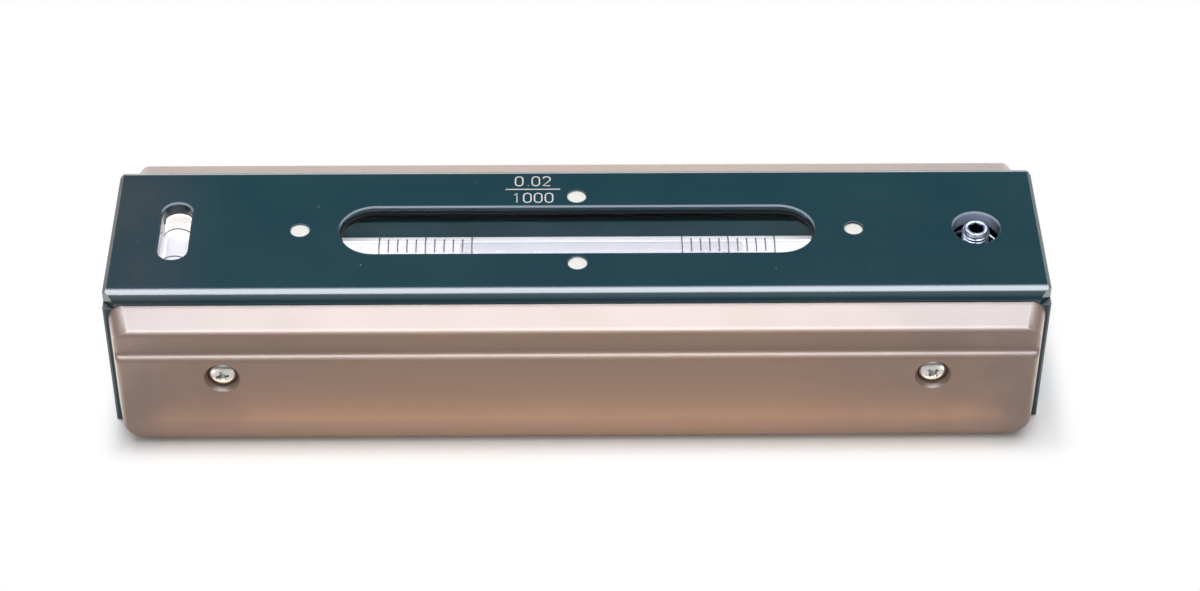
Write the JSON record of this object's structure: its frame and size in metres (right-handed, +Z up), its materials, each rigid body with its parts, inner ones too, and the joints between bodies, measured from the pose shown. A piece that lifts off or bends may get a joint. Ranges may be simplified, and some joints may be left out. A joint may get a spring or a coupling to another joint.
{
  "type": "precision spirit level",
  "caption": "Flat precision level with a long graduated vial under glass, a small cross vial, an adjusting screw and bronze side plates.",
  "frame": {"origin": "middle of the underside, at the middle of the overall box", "axes": "+X along the level towards the adjusting screw, +Y to the rear, +Z up"},
  "size_m": [0.2, 0.0584, 0.036],
  "materials": {
    "iron_paint": "dark blue-green satin paint on cast iron",
    "cover_paint": "dark blue-green satin paint",
    "plate_paint": "bronze-gold metallic satin paint",
    "black_rubber": "matte black",
    "window_glass": "clear polished glass",
    "vial_glass": "clear ground glass tube",
    "vial_liquid": "clear spirit",
    "bubble": "air bubble",
    "white_filling": "matte white filling",
    "plaster": "matte white plaster",
    "ink": "black ink lines",
    "carrier_paint": "dark satin paint",
    "brass": "turned brass",
    "steel": "bright steel",
    "spring_steel": "spring steel",
    "plug_plastic": "ivory plug"
  },
  "bodies": {
    "base": {"base_casting": "iron_paint", "top_cover": "cover_paint", "cover_gasket": "black_rubber", "window_glass": "window_glass", "window_sealant": "black_rubber", "cover_screws": "steel", "cover_screw_fillings": "white_filling", "pivot_bracket": "brass", "pivot_bracket_screws": "steel", "thrust_pad": "steel", "adjusting_spring": "spring_steel", "cross_vial_holder": "carrier_paint", "cross_vial_holder_screws": "steel", "cross_vial_bedding": "plaster", "cross_vial_tube": "vial_glass", "cross_vial_end_plugs": "plug_plastic", "cross_vial_liquid": "vial_liquid", "cross_vial_graduations": "ink", "front_side_plate": "plate_paint", "rear_side_plate": "plate_paint", "front_side_plate_screws": "steel", "rear_side_plate_screws": "steel"},
    "main_vial": {"main_vial_carrier": "carrier_paint", "main_vial_bedding": "plaster", "main_vial_tube": "vial_glass", "main_vial_end_plugs": "plug_plastic", "main_vial_liquid": "vial_liquid", "main_vial_graduations": "ink", "pivot_pin": "steel"},
    "adjusting_screw": {"adjusting_screw": "steel"},
    "main_bubble": {"main_vial_bubble": "bubble"},
    "cross_bubble": {"cross_vial_bubble": "bubble"}
  },
  "joints": [
    {"name": "adjusting_screw_turn", "type": "hinge", "parent": "base", "child": "adjusting_screw", "pos_m": [0.086, 0, 0.0359], "axis": [0, 0, 1], "range_deg": [-365, 365]},
    {"name": "main_vial_tilt", "type": "hinge", "parent": "base", "child": "main_vial", "pos_m": [-0.07, 0, 0.0195], "axis": [0, -1, 0], "range_deg": [-0.27546, 0.27546], "deforming": ["adjusting_spring"]},
    {"name": "main_bubble_slide", "type": "slide", "parent": "main_vial", "child": "main_bubble", "axis": [1, 0, 0], "range_m": [-0.025, 0.0145]},
    {"name": "cross_bubble_slide", "type": "slide", "parent": "base", "child": "cross_bubble", "axis": [0, 1, 0], "range_m": [-0.005, 0.005]}
  ],
  "couplings": [
    {"joint": "adjusting_screw_turn", "follows": "main_vial_tilt", "ratio": -1306.9}
  ]
}
